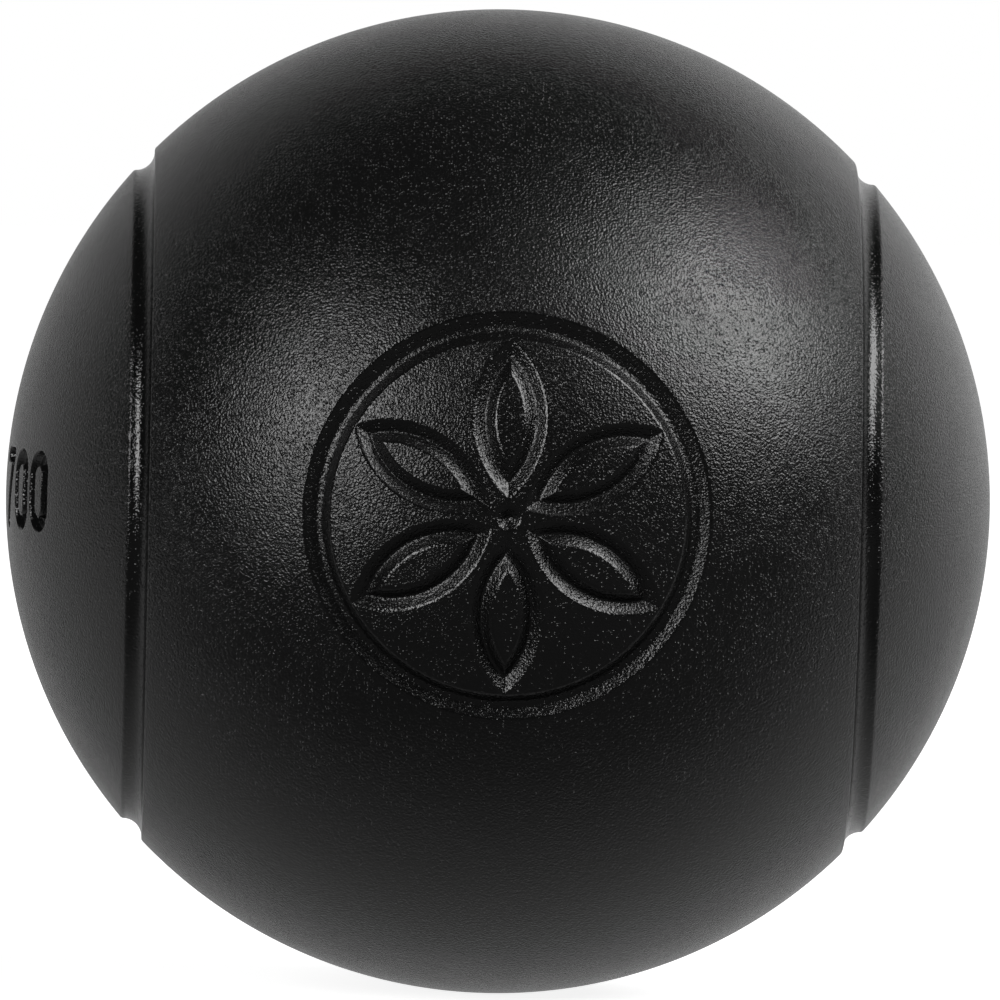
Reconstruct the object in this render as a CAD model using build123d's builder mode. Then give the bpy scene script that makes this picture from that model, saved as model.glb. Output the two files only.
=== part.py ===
"""Petanque boule: two forged half shells joined by a weld, then turned and grooved as one ball.

The origin is the middle of the ball. X is the axis of the two grooves, Z is up, and the weld
plane is XZ, with the front shell on the -Y side. Lengths are in millimetres, angles in degrees.
"""

import math
import os

from build123d import *

# The finished ball
outer_diameter = 74.0
wall = 6.13

# The two turned grooves
groove_spacing = 54.2
groove_depth = 0.55
groove_cutter_radius = 1.4
groove_lip_radius = 0.4

# The weld between the shells
bevel_angle = 30.0
root_land = 1.5
root_gap = 1.2
root_bead_width = 4.0
root_bead_height = 0.8

# The steel, in grams per cubic millimetre
steel_density = 0.00785

# Radii of the ball, and of the rough blank that stands clear of the deepest turned cut
outer_radius = outer_diameter / 2
inner_radius = outer_radius - wall
blank_radius = outer_radius + groove_depth

# Middle of the grooving cutter's round nose, on each side of the ball
cutter_distance = outer_radius - groove_depth + groove_cutter_radius
groove_angle = math.degrees(math.asin(groove_spacing / 2 / outer_radius))
cutter_angles = (90 - groove_angle, 90 + groove_angle)

# Corners of a shell's welding edge, in the section where X is the distance from the Y axis
land_inside = (math.sqrt(inner_radius**2 - (root_gap / 2) ** 2), root_gap / 2)
land_outside = (land_inside[0] + root_land, root_gap / 2)
bevel_direction = (math.cos(math.radians(bevel_angle)), math.sin(math.radians(bevel_angle)))
along_bevel = land_outside[0] * bevel_direction[0] + land_outside[1] * bevel_direction[1]
land_outside_radius = math.hypot(*land_outside)
bevel_length = math.sqrt(along_bevel**2 + blank_radius**2 - land_outside_radius**2) - along_bevel
bevel_top = (
    land_outside[0] + bevel_length * bevel_direction[0],
    land_outside[1] + bevel_length * bevel_direction[1],
)

# Angles of those corners above the weld plane
land_angle = math.degrees(math.asin(land_inside[1] / inner_radius))
bevel_top_angle = math.degrees(math.atan2(bevel_top[1], bevel_top[0]))

# The bead that stands proud of the inside wall
root_bead_angle = math.degrees(math.asin(root_bead_width / 2 / inner_radius))
root_bead_edge = (math.sqrt(inner_radius**2 - (root_bead_width / 2) ** 2), root_bead_width / 2)

os.makedirs("parts", exist_ok=True)

# The turned form: a ball with both grooves, their lips rounded over
with BuildPart() as turned_form:
    with BuildSketch() as turned_section:
        with BuildLine():
            CenterArc((0, 0), outer_radius, 0, 180)
            Line((-outer_radius, 0), (outer_radius, 0))
        make_face()
        for cutter_angle in cutter_angles:
            with PolarLocations(cutter_distance, 1, start_angle=cutter_angle):
                Circle(groove_cutter_radius, mode=Mode.SUBTRACT)
        lips = turned_section.vertices().group_by(Axis.Y)[1:]
        fillet([lip for level in lips for lip in level], groove_lip_radius)
    revolve(axis=Axis.X)

# The rear shell: a forged cup with a bevelled welding edge, finished to the turned form
with BuildPart() as rear_half_shell:
    with BuildSketch():
        with BuildLine():
            CenterArc((0, 0), inner_radius, land_angle, 90 - land_angle)
            Line((0, inner_radius), (0, blank_radius))
            CenterArc((0, 0), blank_radius, bevel_top_angle, 90 - bevel_top_angle)
            Polyline(bevel_top, land_outside, land_inside)
        make_face()
    revolve(axis=Axis.Y)
    add(turned_form.part, mode=Mode.INTERSECT)

# The front shell is the same cup, turned to face the other way
with BuildPart() as front_half_shell:
    mirror(rear_half_shell.part, about=Plane.XZ)

# The weld: it fills the gap and the V between the bevels, and stands proud inside as a round bead
with BuildPart() as weld_bead:
    with BuildSketch():
        with BuildLine():
            Polyline(bevel_top, land_outside, land_inside)
            CenterArc((0, 0), inner_radius, land_angle, root_bead_angle - land_angle)
            mirror(about=Plane.XZ)
            CenterArc((0, 0), blank_radius, -bevel_top_angle, 2 * bevel_top_angle)
            ThreePointArc(
                root_bead_edge,
                (inner_radius - root_bead_height, 0),
                (root_bead_edge[0], -root_bead_edge[1]),
            )
        make_face()
    revolve(axis=Axis.Y)
    add(turned_form.part, mode=Mode.INTERSECT)

front_half_shell.part.label = "front_half_shell"
export_step(front_half_shell.part, "parts/front_half_shell.step")

rear_half_shell.part.label = "rear_half_shell"
export_step(rear_half_shell.part, "parts/rear_half_shell.step")

weld_bead.part.label = "weld_bead"
export_step(weld_bead.part, "parts/weld_bead.step")

steel_volume = sum(piece.part.volume for piece in (front_half_shell, rear_half_shell, weld_bead))
print(f"steel {steel_volume:.0f} mm3, boule {steel_volume * steel_density:.1f} g")
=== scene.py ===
import math

import bmesh
import bpy
import numpy as np
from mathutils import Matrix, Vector


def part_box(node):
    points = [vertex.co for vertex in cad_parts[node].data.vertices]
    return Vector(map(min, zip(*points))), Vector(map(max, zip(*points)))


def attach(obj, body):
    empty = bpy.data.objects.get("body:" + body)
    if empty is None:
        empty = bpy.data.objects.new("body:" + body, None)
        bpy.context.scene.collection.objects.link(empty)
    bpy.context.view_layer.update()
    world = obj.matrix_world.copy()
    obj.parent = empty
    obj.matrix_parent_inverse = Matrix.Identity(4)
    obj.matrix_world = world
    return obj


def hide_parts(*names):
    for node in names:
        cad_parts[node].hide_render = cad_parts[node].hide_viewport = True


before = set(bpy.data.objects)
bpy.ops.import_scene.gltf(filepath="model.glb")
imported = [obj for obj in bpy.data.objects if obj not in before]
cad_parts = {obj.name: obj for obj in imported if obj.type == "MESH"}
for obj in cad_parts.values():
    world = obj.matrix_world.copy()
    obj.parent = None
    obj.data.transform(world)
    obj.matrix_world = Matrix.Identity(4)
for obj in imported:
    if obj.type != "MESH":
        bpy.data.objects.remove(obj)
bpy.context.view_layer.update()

MM = 0.001

# The ball and its weld, from the frame
WELD_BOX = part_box("weld_bead")
BALL_RADIUS = WELD_BOX[1].x
SEAM_Y = WELD_BOX[1].y
HALF_ROOT_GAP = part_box("rear_half_shell")[0].y
WALL = 6.13 * MM
INNER_RADIUS = BALL_RADIUS - WALL
ROOT_LAND = 1.5 * MM
ROOT_BEAD_HALF_WIDTH = 2.0 * MM
ROOT_BEAD_HEIGHT = 0.8 * MM

# The two turned grooves
GROOVE_OFFSET = 27.1 * MM
GROOVE_DEPTH = 0.55 * MM
CUTTER_RADIUS = 1.4 * MM
LIP_RADIUS = 0.35 * MM

# Depths in the grooves where the satin black starts to be rubbed and where it has a gloss
RUBBED_FROM = 0.05 * MM
RUBBED_FULL = 0.25 * MM

# Reach of the cutter's and the lips' middles from the ball's, half the angle that a groove takes up
# with its lips, and half the turn of the hollow about the cutter
CUTTER_REACH = BALL_RADIUS - GROOVE_DEPTH + CUTTER_RADIUS
LIP_REACH = BALL_RADIUS - LIP_RADIUS
CUTTER_TO_LIP = CUTTER_RADIUS + LIP_RADIUS
GROOVE_HALF_WIDTH = math.acos(
    (CUTTER_REACH**2 + LIP_REACH**2 - CUTTER_TO_LIP**2) / (2 * CUTTER_REACH * LIP_REACH)
)
HALF_HOLLOW = math.asin(LIP_REACH * math.sin(GROOVE_HALF_WIDTH) / CUTTER_TO_LIP)

# How finely the outside is divided
SPIN_STEPS = 288
SKIN_STEP = math.radians(1.25)
LIP_STEP = math.radians(9)
GROOVE_STEP = math.radians(8)
DOME_RINGS = 12
BEAD_SHARES = (-0.6, -0.2, 0.2, 0.6)

# Vertices that are one, vertices that lie in a cutting plane, and edges that belong to its rim
SAME_PLACE = 0.001 * MM
IN_PLANE = 0.0005 * MM
AT_RIM = 0.01 * MM

# The engraved rosette, centred on the front of the band: outlined petals in a ring
RING_RADIUS = 14.4 * MM
RING_STROKE = 2.1 * MM
PETALS = 6
PETAL_INNER = 2.6 * MM
PETAL_OUTER = 12.2 * MM
PETAL_HALF_WIDTH = 1.9 * MM
PETAL_STROKE = 1.7 * MM
DOT_RADIUS = 0.9 * MM
ROSETTE_DEPTH = 0.65 * MM

# The weight number, cut into the left cap
NUMBER = "700"
NUMBER_AZIMUTH = math.radians(75.8)
NUMBER_RISE = 0.5 * MM
DIGIT_HEIGHT = 6.1 * MM
DIGIT_WIDTH = 3.7 * MM
DIGIT_PITCH = 4.3 * MM
DIGIT_STROKE = 1.2 * MM
DIGIT_DEPTH = 0.6 * MM

# The engraving cutter leaves steep sides, and the blasting eases its edges
ROSETTE_SLOPE = 0.8
DIGIT_SLOPE = 3.0
CUT_EASE = 0.12 * MM

# Step along the skin over which the slope of a cut is measured
SLOPE_STEP = CUT_EASE / 10

# Edges of the skin are halved near the engraving, to a fine cell that may grow away from it
CUT_CELL = 0.105 * MM
CELL_GROWTH = 0.8
EDGE_MARGIN = 0.2 * MM
SKIN_MARGIN = 2.0 * MM

# Places of the two finishes of each piece, and the sharpest edge that the inside shades over
OUTSIDE = 0
INSIDE = 1
CREASE = math.radians(25)


def unit(vectors):
    """The vectors of an array, each brought to length one."""
    return vectors / np.linalg.norm(vectors, axis=1)[:, None]


def towards(azimuth, elevation):
    """The direction from the ball to a place round it; azimuth 0 is the front, and grows to the right."""
    level = math.cos(elevation)
    return Vector((math.sin(azimuth) * level, -math.cos(azimuth) * level, math.sin(elevation)))


def add_object(name, data):
    """Puts an object into the scene at the origin."""
    made = bpy.data.objects.new(name, data)
    bpy.context.scene.collection.objects.link(made)
    return made


def vertex_order(vert):
    """What vertices are put in order by: their place."""
    return vert.co[:]


def corner_order(part):
    """What edges and faces are put in order by: their vertices."""
    return sorted(vert.index for vert in part.verts)


def settle(bm):
    """Puts the parts of a mesh in order, since spinning and extruding leave another order on each run."""
    for parts, order in ((bm.verts, vertex_order), (bm.edges, corner_order), (bm.faces, corner_order)):
        ranks = {part: rank for rank, part in enumerate(sorted(parts, key=order))}
        parts.sort(key=ranks.get)
        parts.index_update()


def on_section(angle, radius=BALL_RADIUS):
    """A point of the ball's level section, at an angle from the left pole round the front."""
    return Vector((-radius * math.cos(angle), -radius * math.sin(angle), 0))


def draw_arc(bm, tip, centre, angle, step):
    """Carries the section's last vertex round a centre, and gives the new last vertex."""
    steps = max(2, round(abs(angle) / step))
    made = bmesh.ops.spin(bm, geom=[tip], cent=centre, axis=(0, 0, 1), angle=angle, steps=steps)
    return next(part for part in made["geom_last"] if isinstance(part, bmesh.types.BMVert))


def draw_groove(bm, tip, middle):
    """Draws one groove's section: a rounded lip, the cutter's hollow and the second lip."""
    lip_turn = GROOVE_HALF_WIDTH + HALF_HOLLOW
    tip = draw_arc(bm, tip, on_section(middle - GROOVE_HALF_WIDTH, LIP_REACH), lip_turn, LIP_STEP)
    tip = draw_arc(bm, tip, on_section(middle, CUTTER_REACH), -2 * HALF_HOLLOW, GROOVE_STEP)
    return draw_arc(bm, tip, on_section(middle + GROOVE_HALF_WIDTH, LIP_REACH), lip_turn, LIP_STEP)


def turned_skin():
    """The outside of the whole ball: its section, drawn arc by arc and spun about the X axis."""
    bm = bmesh.new()
    left_groove = math.pi / 2 - math.asin(GROOVE_OFFSET / BALL_RADIUS)
    cap = left_groove - GROOVE_HALF_WIDTH
    band = math.pi - 2 * (left_groove + GROOVE_HALF_WIDTH)
    tip = bm.verts.new(on_section(0))
    tip = draw_arc(bm, tip, (0, 0, 0), cap, SKIN_STEP)
    tip = draw_groove(bm, tip, left_groove)
    tip = draw_arc(bm, tip, (0, 0, 0), band, SKIN_STEP)
    tip = draw_groove(bm, tip, math.pi - left_groove)
    draw_arc(bm, tip, (0, 0, 0), cap, SKIN_STEP)
    section = bm.verts[:] + bm.edges[:]
    bmesh.ops.spin(
        bm, geom=section, cent=(0, 0, 0), axis=(1, 0, 0),
        angle=2 * math.pi, steps=SPIN_STEPS, use_merge=True,
    )
    bmesh.ops.remove_doubles(bm, verts=bm.verts, dist=SAME_PLACE)
    bmesh.ops.recalc_face_normals(bm, faces=bm.faces)
    settle(bm)
    return bm


def laid_flat(points, azimuth):
    """Unwraps points of the ball round a direction on its equator, an azimuth to the left of the front."""
    rays = unit(points)
    facing = np.array((-math.sin(azimuth), -math.cos(azimuth), 0))
    right = np.array((math.cos(azimuth), -math.sin(azimuth), 0))
    across = rays @ right
    up = rays[:, 2]
    not_zero = 1e-9
    aside = np.maximum(np.hypot(across, up), not_zero)
    arc = BALL_RADIUS * np.arctan2(aside, rays @ facing)
    return arc * across / aside, arc * up / aside


def to_segment(x, y, start, end):
    """Distance of each point from a straight stroke's middle line."""
    run = (end[0] - start[0], end[1] - start[1])
    share = ((x - start[0]) * run[0] + (y - start[1]) * run[1]) / (run[0] ** 2 + run[1] ** 2)
    share = np.clip(share, 0, 1)
    return np.hypot(x - start[0] - share * run[0], y - start[1] - share * run[1])


def rosette_inset(points):
    """How far each point lies inside the rosette's strokes: a ring, outlined petals and a middle dot."""
    x, y = laid_flat(points, 0)
    reach = np.hypot(x, y)
    inset = np.maximum(RING_STROKE / 2 - np.abs(reach - RING_RADIUS), DOT_RADIUS - reach)
    half_length = (PETAL_OUTER - PETAL_INNER) / 2
    middle = (PETAL_OUTER + PETAL_INNER) / 2
    side_radius = (half_length**2 + PETAL_HALF_WIDTH**2) / (2 * PETAL_HALF_WIDTH)
    for petal in range(PETALS):
        turn = math.pi / 2 + petal * 2 * math.pi / PETALS
        along = x * math.cos(turn) + y * math.sin(turn) - middle
        aside = np.abs(y * math.cos(turn) - x * math.sin(turn))
        outline = side_radius - np.hypot(along, aside + side_radius - PETAL_HALF_WIDTH)
        inset = np.maximum(inset, PETAL_STROKE / 2 - np.abs(outline))
    return inset


def digit_distance(digit, x, y):
    """Distance of each point from the middle line of a 0 or a 7, centred on the origin."""
    half_width = (DIGIT_WIDTH - DIGIT_STROKE) / 2
    half_height = (DIGIT_HEIGHT - DIGIT_STROKE) / 2
    if digit == "0":
        rise = half_height - half_width
        return np.abs(to_segment(x, y, (0, -rise), (0, rise)) - half_width)
    bar = to_segment(x, y, (-half_width, half_height), (half_width, half_height))
    leg = to_segment(x, y, (half_width, half_height), (-half_width / 2, -half_height))
    return np.minimum(bar, leg)


def number_inset(points):
    """How far each point lies inside the strokes of the weight number."""
    x, y = laid_flat(points, NUMBER_AZIMUTH)
    nearest = np.full(len(points), np.inf)
    for place, digit in enumerate(NUMBER):
        shift = (place - (len(NUMBER) - 1) / 2) * DIGIT_PITCH
        nearest = np.minimum(nearest, digit_distance(digit, x - shift, y - NUMBER_RISE))
    return DIGIT_STROKE / 2 - nearest


def eased_above(value, ease):
    """The larger of a value and zero, with the corner between them rounded."""
    share = np.clip(0.5 + 0.5 * value / ease, 0, 1)
    return value * share + ease * share * (1 - share)


def cut_depth(inset, slope, depth):
    """Depth below the skin that a sloping cutter leaves at a distance inside an outline."""
    above_floor = depth - eased_above(slope * inset, CUT_EASE)
    return depth - eased_above(above_floor, CUT_EASE)


def engraved_depth(points):
    """Depth of all the engraving under each point of the skin."""
    rosette = cut_depth(rosette_inset(points), ROSETTE_SLOPE, ROSETTE_DEPTH)
    return np.maximum(rosette, cut_depth(number_inset(points), DIGIT_SLOPE, DIGIT_DEPTH))


def engraving_inset(points):
    """How far each point lies inside any engraved outline."""
    return np.maximum(rosette_inset(points), number_inset(points))


def refine(bm):
    """Halves the edges of the skin near the engraving until each is short enough for its place.

    Faces that share two edges in a row then get a middle vertex, so that no two split the same way.
    """
    while True:
        edges = list(bm.edges)
        ends = np.array([(*edge.verts[0].co, *edge.verts[1].co) for edge in edges])
        inset = engraving_inset((ends[:, :3] + ends[:, 3:]) / 2)
        allowed = CUT_CELL + CELL_GROWTH * np.maximum(-inset - EDGE_MARGIN, 0)
        too_long = np.flatnonzero(np.linalg.norm(ends[:, :3] - ends[:, 3:], axis=1) > allowed)
        if len(too_long) == 0:
            break
        long_edges = [edges[index] for index in too_long]
        bmesh.ops.subdivide_edges(bm, edges=long_edges, cuts=1, use_grid_fill=True)
    twice_joined = [face for face in bm.faces if any(len(vert.link_edges) == 2 for vert in face.verts)]
    bmesh.ops.poke(bm, faces=twice_joined)


def engraved_normals(rays):
    """The way that the engraved skin faces along each ray, from the slope of the cuts there."""
    skin = rays * BALL_RADIUS
    level = unit(np.cross(rays, (0, 0, 1)))
    facing = rays.copy()
    for direction in (level, np.cross(level, rays)):
        step = SLOPE_STEP * direction
        rise = engraved_depth(skin + step) - engraved_depth(skin - step)
        facing += direction * (rise / (2 * SLOPE_STEP))[:, None]
    return unit(facing)


def engrave(bm):
    """Cuts the rosette and the number into the skin, and notes each vertex's normal and wear."""
    refine(bm)
    bm.normal_update()
    normal_layer = bm.verts.layers.float_vector.new("skin_normal")
    rubbed_layer = bm.verts.layers.float.new("rubbed")
    for vert in bm.verts:
        vert[normal_layer] = vert.normal
        below_lips = BALL_RADIUS - vert.co.length - RUBBED_FROM
        vert[rubbed_layer] = min(1, max(0, below_lips / (RUBBED_FULL - RUBBED_FROM)))
    places = np.array([vert.co for vert in bm.verts])
    near = np.flatnonzero(engraving_inset(places) > -SKIN_MARGIN)
    rays = unit(places[near])
    skin = rays * BALL_RADIUS
    depth = engraved_depth(skin)
    facing = engraved_normals(rays)
    edges_worn = np.exp(-((engraving_inset(skin) / CUT_EASE) ** 2))
    wear = np.maximum(edges_worn, number_inset(skin) > 0)
    bm.verts.ensure_lookup_table()
    for index, ray, sunk, normal, worn in zip(near, rays, depth, facing, wear):
        vert = bm.verts[index]
        vert.co = Vector(ray) * (BALL_RADIUS - sunk)
        vert[normal_layer] = Vector(normal)
        vert[rubbed_layer] = worn


def slice_of(skin, front, rear):
    """A copy of the skin between two planes across Y; None leaves that side open to the pole."""
    bm = skin.copy()
    for y, outward in ((front, -1), (rear, 1)):
        if y is not None:
            bmesh.ops.bisect_plane(
                bm, geom=bm.verts[:] + bm.edges[:] + bm.faces[:], dist=IN_PLANE,
                plane_co=(0, y, 0), plane_no=(0, outward, 0), clear_outer=True,
            )
    settle(bm)
    return bm


def rim_at(bm, y):
    """The open edges of a slice that lie in one plane across Y."""
    return [
        edge for edge in bm.edges
        if edge.is_boundary and all(abs(vert.co.y - y) < AT_RIM for vert in edge.verts)
    ]


def extrude_rings(bm, rim, rings):
    """Extrudes a rim through circles about Y, each a radius and a place along Y."""
    for radius, y in rings:
        made = bmesh.ops.extrude_edge_only(bm, edges=rim)["geom"]
        rim = [part for part in made if isinstance(part, bmesh.types.BMEdge) and part.is_boundary]
        for vert in (part for part in made if isinstance(part, bmesh.types.BMVert)):
            spoke = Vector((vert.co.x, 0, vert.co.z)).normalized()
            vert.co = spoke * radius + Vector((0, y, 0))
    return rim


def welding_edge(side):
    """The circles of a shell's welding edge on one side, from its bevel down to its inside wall."""
    inside = math.sqrt(INNER_RADIUS**2 - HALF_ROOT_GAP**2)
    return [(inside + ROOT_LAND, side * HALF_ROOT_GAP), (inside, side * HALF_ROOT_GAP)]


def shell(skin, side):
    """A half shell: its share of the skin, closed by the welding edge and the domed inside wall."""
    seam = side * SEAM_Y
    bm = slice_of(skin, seam, None) if side > 0 else slice_of(skin, None, seam)
    start = math.asin(HALF_ROOT_GAP / INNER_RADIUS)
    dome = []
    for ring in range(1, DOME_RINGS):
        angle = start + (math.pi / 2 - start) * ring / DOME_RINGS
        dome.append((INNER_RADIUS * math.cos(angle), side * INNER_RADIUS * math.sin(angle)))
    outside = set(bm.faces)
    last = extrude_rings(bm, rim_at(bm, seam), welding_edge(side) + dome)
    pole = list(dict.fromkeys(vert for edge in last for vert in edge.verts))
    bmesh.ops.pointmerge(bm, verts=pole, merge_co=(0, side * INNER_RADIUS, 0))
    return bm, outside


def weld(skin):
    """The weld: its strip of the skin, the V down to the lands and the round bead inside."""
    bm = slice_of(skin, -SEAM_Y, SEAM_Y)
    outside = set(bm.faces)
    edge_radius = math.sqrt(INNER_RADIUS**2 - ROOT_BEAD_HALF_WIDTH**2)
    rings = welding_edge(-1) + [(edge_radius, -ROOT_BEAD_HALF_WIDTH)]
    sagitta = edge_radius - INNER_RADIUS + ROOT_BEAD_HEIGHT
    bead_radius = (ROOT_BEAD_HALF_WIDTH**2 + sagitta**2) / (2 * sagitta)
    half_turn = math.asin(ROOT_BEAD_HALF_WIDTH / bead_radius)
    for share in BEAD_SHARES:
        angle = share * half_turn
        fall = bead_radius * math.cos(angle) - bead_radius + sagitta
        rings.append((edge_radius - fall, bead_radius * math.sin(angle)))
    rings += [(edge_radius, ROOT_BEAD_HALF_WIDTH)] + welding_edge(1)[::-1]
    last = extrude_rings(bm, rim_at(bm, -SEAM_Y), rings)
    bmesh.ops.bridge_loops(bm, edges=last + rim_at(bm, SEAM_Y))
    return bm, outside


def finish_piece(name, bm, outside, node, slot, finishes):
    """Makes a piece of a closed bmesh, with true normals on its outside, and seats it in the frame."""
    bmesh.ops.recalc_face_normals(bm, faces=bm.faces)
    for face in bm.faces:
        face.smooth = True
        face.material_index = OUTSIDE if face in outside else INSIDE
    for edge in bm.edges:
        edge.smooth = len({face.material_index for face in edge.link_faces}) == 1
        if edge.smooth and edge.link_faces[0].material_index == INSIDE:
            edge.smooth = edge.calc_face_angle(0) < CREASE
    settle(bm)
    mesh = bpy.data.meshes.new(name)
    bm.to_mesh(mesh)
    bm.free()
    kept = np.empty(3 * len(mesh.vertices))
    mesh.attributes["skin_normal"].data.foreach_get("vector", kept)
    kept = unit(kept.reshape(-1, 3))
    corners = np.empty(len(mesh.loops), int)
    mesh.loops.foreach_get("vertex_index", corners)
    on_outside = [[face.material_index == OUTSIDE] * face.loop_total for face in mesh.polygons]
    normals = kept[corners] * np.concatenate(on_outside)[:, None]
    mesh.attributes.remove(mesh.attributes["skin_normal"])
    mesh.normals_split_custom_set(normals.tolist())
    for finish in finishes:
        mesh.materials.append(finish)
    piece = add_object(name, mesh)
    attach(piece, "root")
    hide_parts(node)


def add_node(tree, kind, **inputs):
    """Adds a shader node and sets or links the inputs that are named, with underscores for spaces."""
    node = tree.nodes.new(kind)
    for name, value in inputs.items():
        feed(tree, node.inputs[name.replace("_", " ")], value)
    return node


def feed(tree, socket, value):
    """Links an output to an input socket, or sets the socket to a plain value."""
    if isinstance(value, bpy.types.NodeSocket):
        tree.links.new(value, socket)
    else:
        socket.default_value = value


def combine(tree, operation, first, second):
    """The result of a math node on two values."""
    node = tree.nodes.new("ShaderNodeMath")
    node.operation = operation
    feed(tree, node.inputs[0], first)
    feed(tree, node.inputs[1], second)
    return node.outputs[0]


def remap(tree, value, start, end, low, high):
    """A value that goes smoothly from low to high while another goes from start to end."""
    node = add_node(tree, "ShaderNodeMapRange", Value=value)
    node.interpolation_type = "SMOOTHSTEP"
    for name, limit in (("From Min", start), ("From Max", end), ("To Min", low), ("To Max", high)):
        node.inputs[name].default_value = limit
    return node.outputs["Result"]


def blend_colours(tree, factor, first, second):
    """The result of a mix node between two greys."""
    node = tree.nodes.new("ShaderNodeMix")
    node.data_type = "RGBA"
    feed(tree, node.inputs["Factor"], factor)
    node.inputs["A"].default_value = (first, first, first, 1)
    node.inputs["B"].default_value = (second, second, second, 1)
    return node.outputs["Result"]


# The blasted grain. A finish says how many waves and pits it has to the metre; its patches and specks
# are the same in all. Heights and depths are shares of a finish's bump, and sizes shares of a cell.
WAVE_DETAIL = 1.5
PATCHES = 240.0
PATCH_DETAIL = 2.0
MOTTLE_RANGE = (0.3, 0.7)
MOTTLE_STRENGTH = (0.9, 1.1)
PIT_SIZE = 0.45
PIT_DEPTH = 1.0
DEEP_PIT_RARITY = 2.0
SPECKS = 1100.0
SPECK_SIZE = (0.04, 0.14)
FLECK_FROM = 0.75
FLECK_HEIGHT = 0.3
PORE_DEPTH = 0.6

# The satin black, and the share of its roughness and grain that is left where it is rubbed
BLACK_WAVES = 5600.0
BLACK_PITS = 5000.0
BLACK_BUMP = 0.072 * MM
BLACK_IOR = 1.5
BLACK_GREY = 0.005
FLECK_GREY = 0.035
SATIN_ROUGHNESS = (0.17, 0.2)
RUBBED_SHARE = 0.5

# The bare metal inside, where no light comes
BARE_BUMP = 0.1 * MM
BARE_WAVES_TO_PITS = 1.5


def grain_group():
    """Blasted grain: fine waves and pits, the mottle they follow, and pale flecks among dark pores."""
    group = bpy.data.node_groups.new("blasted_grain", "ShaderNodeTree")
    group.interface.new_socket("Position", in_out="INPUT", socket_type="NodeSocketVector")
    group.interface.new_socket("Waves", in_out="INPUT", socket_type="NodeSocketFloat")
    group.interface.new_socket("Pits", in_out="INPUT", socket_type="NodeSocketFloat")
    for name in ("Height", "Mottle", "Fleck"):
        group.interface.new_socket(name, in_out="OUTPUT", socket_type="NodeSocketFloat")
    entry = group.nodes.new("NodeGroupInput").outputs
    leave = group.nodes.new("NodeGroupOutput")
    place = entry["Position"]
    waves = add_node(group, "ShaderNodeTexNoise", Vector=place, Scale=entry["Waves"], Detail=WAVE_DETAIL)
    pits = add_node(group, "ShaderNodeTexVoronoi", Vector=place, Scale=entry["Pits"])
    patches = add_node(group, "ShaderNodeTexNoise", Vector=place, Scale=PATCHES, Detail=PATCH_DETAIL)
    specks = add_node(group, "ShaderNodeTexVoronoi", Vector=place, Scale=SPECKS)
    mottle = patches.outputs["Fac"]
    speck = remap(group, specks.outputs["Distance"], *SPECK_SIZE, 1.0, 0.0)
    kind = add_node(group, "ShaderNodeSeparateColor", Color=specks.outputs["Color"]).outputs["Red"]
    fleck = combine(group, "MULTIPLY", speck, combine(group, "GREATER_THAN", kind, FLECK_FROM))
    pore = combine(group, "SUBTRACT", speck, fleck)
    chance = add_node(group, "ShaderNodeSeparateColor", Color=pits.outputs["Color"]).outputs["Red"]
    hollow = remap(group, pits.outputs["Distance"], 0.0, PIT_SIZE, -PIT_DEPTH, 0.0)
    pitted = combine(group, "MULTIPLY", hollow, combine(group, "POWER", chance, DEEP_PIT_RARITY))
    rough = combine(group, "ADD", waves.outputs["Fac"], pitted)
    rough = combine(group, "MULTIPLY", rough, remap(group, mottle, *MOTTLE_RANGE, *MOTTLE_STRENGTH))
    rough = combine(group, "SUBTRACT", rough, combine(group, "MULTIPLY", pore, PORE_DEPTH))
    rough = combine(group, "ADD", rough, combine(group, "MULTIPLY", fleck, FLECK_HEIGHT))
    feed(group, leave.inputs["Height"], rough)
    feed(group, leave.inputs["Mottle"], mottle)
    feed(group, leave.inputs["Fleck"], fleck)
    return group


def add_grain(tree, grain, waves, pits):
    """Places the grain on a piece's own coordinates, with so many waves and pits to the metre."""
    texture = tree.nodes.new("ShaderNodeGroup")
    texture.node_tree = grain
    texture.inputs["Waves"].default_value = waves
    texture.inputs["Pits"].default_value = pits
    place = tree.nodes.new("ShaderNodeTexCoord")
    tree.links.new(place.outputs["Object"], texture.inputs["Position"])
    return texture.outputs


def black_finish(grain):
    """Satin black over blasted steel, rubbed to a gloss in the grooves, the number and along cut edges."""
    material = bpy.data.materials.new("satin_black")
    material.use_nodes = True
    tree = material.node_tree
    shader = tree.nodes["Principled BSDF"]
    shader.inputs["IOR"].default_value = BLACK_IOR
    texture = add_grain(tree, grain, BLACK_WAVES, BLACK_PITS)
    attribute = tree.nodes.new("ShaderNodeAttribute")
    attribute.attribute_name = "rubbed"
    satin = remap(tree, texture["Mottle"], *MOTTLE_RANGE, *SATIN_ROUGHNESS)
    unworn = remap(tree, attribute.outputs["Fac"], 0.0, 1.0, 1.0, RUBBED_SHARE)
    height = texture["Height"]
    bump = add_node(tree, "ShaderNodeBump", Strength=unworn, Distance=BLACK_BUMP, Height=height)
    grey = blend_colours(tree, texture["Fleck"], BLACK_GREY, FLECK_GREY)
    feed(tree, shader.inputs["Base Color"], grey)
    feed(tree, shader.inputs["Roughness"], combine(tree, "MULTIPLY", satin, unworn))
    feed(tree, shader.inputs["Normal"], bump.outputs["Normal"])
    return material


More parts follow.
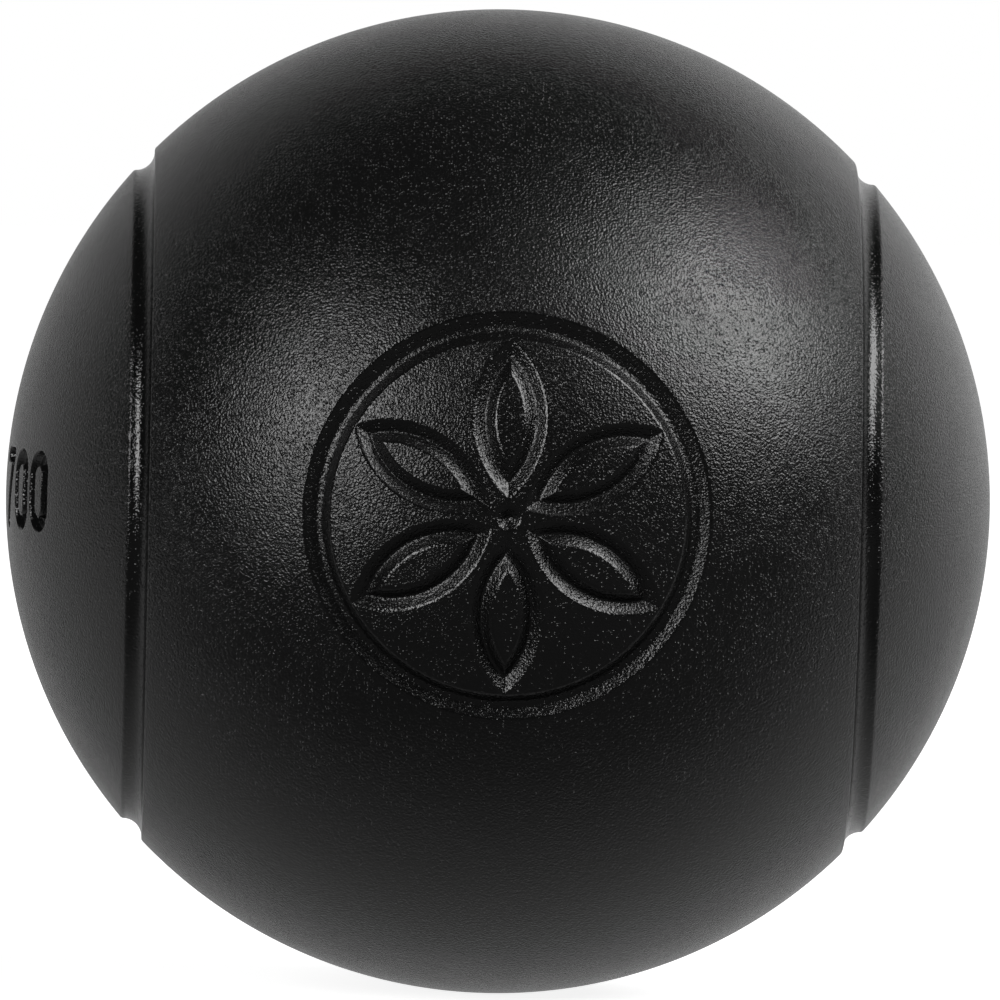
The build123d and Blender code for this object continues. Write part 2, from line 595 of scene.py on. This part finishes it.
def bare_finish(grain, name, dull, bright, roughness, pits):
    """Bare metal inside the ball: forging scale on the shells, a dull bead on the weld."""
    material = bpy.data.materials.new(name)
    material.use_nodes = True
    tree = material.node_tree
    shader = tree.nodes["Principled BSDF"]
    shader.inputs["Metallic"].default_value = 1.0
    shader.inputs["Roughness"].default_value = roughness
    texture = add_grain(tree, grain, BARE_WAVES_TO_PITS * pits, pits)
    bump = add_node(tree, "ShaderNodeBump", Strength=1.0, Distance=BARE_BUMP, Height=texture["Height"])
    feed(tree, shader.inputs["Base Color"], blend_colours(tree, texture["Mottle"], dull, bright))
    feed(tree, shader.inputs["Normal"], bump.outputs["Normal"])
    return material


def make_ball():
    """The three pieces of the boule in their finishes."""
    grain = grain_group()
    black = black_finish(grain)
    scale = bare_finish(grain, "forging_scale", dull=0.08, bright=0.2, roughness=0.6, pits=900.0)
    bead = bare_finish(grain, "weld_metal", dull=0.25, bright=0.5, roughness=0.45, pits=600.0)
    skin = turned_skin()
    engrave(skin)
    finish_piece("front_shell", *shell(skin, -1), "front_half_shell", "shell_steel", (black, scale))
    finish_piece("rear_shell", *shell(skin, 1), "rear_half_shell", "shell_steel", (black, scale))
    finish_piece("weld_ring", *weld(skin), "weld_bead", "weld_steel", (black, bead))
    skin.free()


# The photograph's view
CAMERA_DISTANCE = 1.4
CAMERA_AZIMUTH = math.radians(-1.24)
CAMERA_ELEVATION = math.radians(1.9)
CAMERA_ROLL = math.radians(1.18)
IMAGE_SIDE = 1000
BALL_PIXELS = 492.06
BALL_CENTRE_PIXELS = (497.91, 501.24)

# The floor: its grey to light and to the camera, and the glow that whitens it away from the ball; the grey
# to light is nearly black, a painted shade that glossy things see in place of the lit floor
FLOOR_RADIUS = 3.0
FLOOR_SIDES = 96
FLOOR_GREYS = (0.05, 0.75)
SHADOW_ZONE = (0.12, 0.5)
FLOOR_GLOW = (0.87, 1.0)

# The backdrop that glossy things show: where it meets the floor it is a painted glow on the floor, painted
# shade at the front rising to painted light at the rear, and all of it is brighter to the right; the
# world's values are directions, and the floor's are places
FOOT_DEPTH = (-0.052, -0.006)
PAINTED_FOOT_GLOW = (0.055, 0.46)
FOOT_SIDES = (-0.05, 0.05)
PAINTED_FOOT_SIDE_GLOW = (0.8, 1.06)
BEHIND = (0.05, 0.7)
TOP_EDGE = (0.42, 0.9)
SIDES = (-0.3, 0.8)
SIDE_GLOW = (0.4, 0.88)
ROOM_GREY = 0.02

# The lamps: azimuth and elevation in degrees, width and height in metres, power in watts
LAMP_DISTANCE = 1.2
LAMPS = {
    "left_softbox": (-43, 18.5, 0.44, 0.7, 7.2),
    "right_softbox": (69, 38, 0.76, 0.78, 13.2),
    "soft_overhead": (44, 48, 0.9, 0.9, 1.4),
}


def make_camera():
    """A long lens at the photograph's angle, with the ball where the photograph has it."""
    data = bpy.data.cameras.new("camera")
    camera = add_object("camera", data)
    reach = CAMERA_DISTANCE / BALL_RADIUS
    data.lens = data.sensor_width * BALL_PIXELS * math.sqrt(reach**2 - 1) / IMAGE_SIDE
    back = towards(CAMERA_AZIMUTH, CAMERA_ELEVATION)
    turn = (-back).to_track_quat("-Z", "Y").to_matrix()
    right = turn.col[0].copy()
    up = turn.col[1].copy()
    side = math.cos(CAMERA_ROLL) * right + math.sin(CAMERA_ROLL) * up
    rise = math.cos(CAMERA_ROLL) * up - math.sin(CAMERA_ROLL) * right
    pixel = BALL_RADIUS / BALL_PIXELS
    middle = IMAGE_SIDE / 2
    aim = side * (middle - BALL_CENTRE_PIXELS[0]) * pixel
    aim += rise * (BALL_CENTRE_PIXELS[1] - middle) * pixel
    camera.location = back * CAMERA_DISTANCE + aim
    turn.col[0] = side
    turn.col[1] = rise
    camera.rotation_euler = turn.to_euler()
    bpy.context.scene.camera = camera


def mirrored_rays(tree, path):
    """One on rays that a glossy thing sends out, and zero on others."""
    return combine(tree, "MAXIMUM", path["Is Glossy Ray"], path["Is Transmission Ray"])


def floor_finish():
    """A pale floor that is white to the camera; glossy things see a near-black floor with a painted glow,
    painted shade at the front and painted light to the rear and right.
    """
    material = bpy.data.materials.new("pale_floor")
    material.use_nodes = True
    tree = material.node_tree
    tree.nodes.clear()
    path = tree.nodes.new("ShaderNodeLightPath").outputs
    place = tree.nodes.new("ShaderNodeTexCoord").outputs["Object"]
    along = add_node(tree, "ShaderNodeSeparateXYZ", Vector=place).outputs
    reach = tree.nodes.new("ShaderNodeVectorMath")
    reach.operation = "LENGTH"
    feed(tree, reach.inputs[0], place)
    white = remap(tree, reach.outputs["Value"], *SHADOW_ZONE, *FLOOR_GLOW)
    # Painted reflection: the glow that glossy things see on the floor, painted shade to the front and
    # painted light to the rear and right
    painted_foot_glow = remap(tree, along["Y"], *FOOT_DEPTH, *PAINTED_FOOT_GLOW)
    painted_foot_glow = combine(tree, "MULTIPLY", painted_foot_glow, remap(tree, along["X"], *FOOT_SIDES, *PAINTED_FOOT_SIDE_GLOW))
    shown = combine(tree, "MULTIPLY", mirrored_rays(tree, path), painted_foot_glow)
    seen = combine(tree, "MULTIPLY", path["Is Camera Ray"], white)
    # To all rays but the camera's the floor is a near-black grey, a painted shade in what glossy things
    # show
    grey = blend_colours(tree, path["Is Camera Ray"], *FLOOR_GREYS)
    matt = add_node(tree, "ShaderNodeBsdfDiffuse", Color=grey)
    glow = add_node(tree, "ShaderNodeEmission", Strength=combine(tree, "MAXIMUM", seen, shown))
    both = tree.nodes.new("ShaderNodeAddShader")
    feed(tree, both.inputs[0], matt.outputs[0])
    feed(tree, both.inputs[1], glow.outputs[0])
    add_node(tree, "ShaderNodeOutputMaterial", Surface=both.outputs[0])
    return material


def make_floor():
    """A plain round floor under the ball, which keeps its shadow."""
    bm = bmesh.new()
    bmesh.ops.create_circle(bm, cap_ends=True, radius=FLOOR_RADIUS, segments=FLOOR_SIDES)
    bmesh.ops.translate(bm, verts=bm.verts, vec=(0, 0, -BALL_RADIUS))
    mesh = bpy.data.meshes.new("floor")
    bm.to_mesh(mesh)
    bm.free()
    mesh.materials.append(floor_finish())
    floor = add_object("floor", mesh)


def make_world():
    """A dim room with a white backdrop behind the ball, brighter to the right; the camera sees white."""
    world = bpy.data.worlds.new("studio")
    bpy.context.scene.world = world
    world.use_nodes = True
    tree = world.node_tree
    place = tree.nodes.new("ShaderNodeTexCoord").outputs["Generated"]
    along = add_node(tree, "ShaderNodeSeparateXYZ", Vector=place).outputs
    behind = remap(tree, along["Y"], *BEHIND, 0.0, 1.0)
    below_top = remap(tree, along["Z"], *TOP_EDGE, 1.0, 0.0)
    brightness = remap(tree, along["X"], *SIDES, *SIDE_GLOW)
    backdrop = combine(tree, "MULTIPLY", combine(tree, "MULTIPLY", behind, below_top), brightness)
    path = tree.nodes.new("ShaderNodeLightPath").outputs
    shown = combine(tree, "MULTIPLY", mirrored_rays(tree, path), backdrop)
    lit = combine(tree, "MAXIMUM", shown, path["Is Camera Ray"])
    feed(tree, tree.nodes["Background"].inputs["Color"], blend_colours(tree, lit, ROOM_GREY, 1.0))


def add_softbox(name, azimuth, elevation, width, height, power):
    """An oblong area lamp that looks at the ball and stays out of the picture."""
    data = bpy.data.lights.new(name, "AREA")
    data.shape = "RECTANGLE"
    data.size = width
    data.size_y = height
    data.energy = power
    lamp = add_object(name, data)
    place = towards(math.radians(azimuth), math.radians(elevation))
    lamp.location = place * LAMP_DISTANCE
    lamp.rotation_euler = (-place).to_track_quat("-Z", "Y").to_euler()
    lamp.visible_camera = False


make_ball()
make_floor()
make_world()
for lamp_name, lamp_values in LAMPS.items():
    add_softbox(lamp_name, *lamp_values)
make_camera()
bpy.context.scene.view_settings.view_transform = "Standard"
